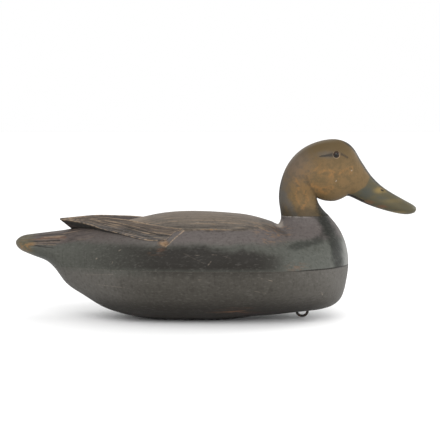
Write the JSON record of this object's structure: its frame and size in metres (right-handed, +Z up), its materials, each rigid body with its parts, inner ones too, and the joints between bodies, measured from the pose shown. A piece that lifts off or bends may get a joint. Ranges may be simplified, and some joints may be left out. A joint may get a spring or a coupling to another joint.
{
  "type": "duck decoy",
  "caption": "Carved and painted wooden black duck decoy with raised wings, a fluted tail, glass eyes and a line staple under the breast.",
  "frame": {"origin": "on the ground under the middle of the whole decoy's length and width", "axes": "+X points to the bill, +Y to the bird's left, +Z up"},
  "size_m": [0.4328, 0.1592, 0.1936],
  "materials": {
    "upper_body_paint": "worn flat dark brown and grey oil paint over carved wood",
    "lower_body_paint": "worn flat warm grey-brown oil paint over smooth wood",
    "head_paint": "worn ochre-brown paint with a dark eye stripe and an olive bill",
    "eye_glass": "glossy dark brown glass with a black pupil",
    "staple_iron": "dull dark iron wire"
  },
  "bodies": {
    "root": {"body_upper": "upper_body_paint", "body_lower": "lower_body_paint", "head": "head_paint", "eye_left": "eye_glass", "eye_right": "eye_glass", "line_staple": "staple_iron"}
  },
  "joints": []
}
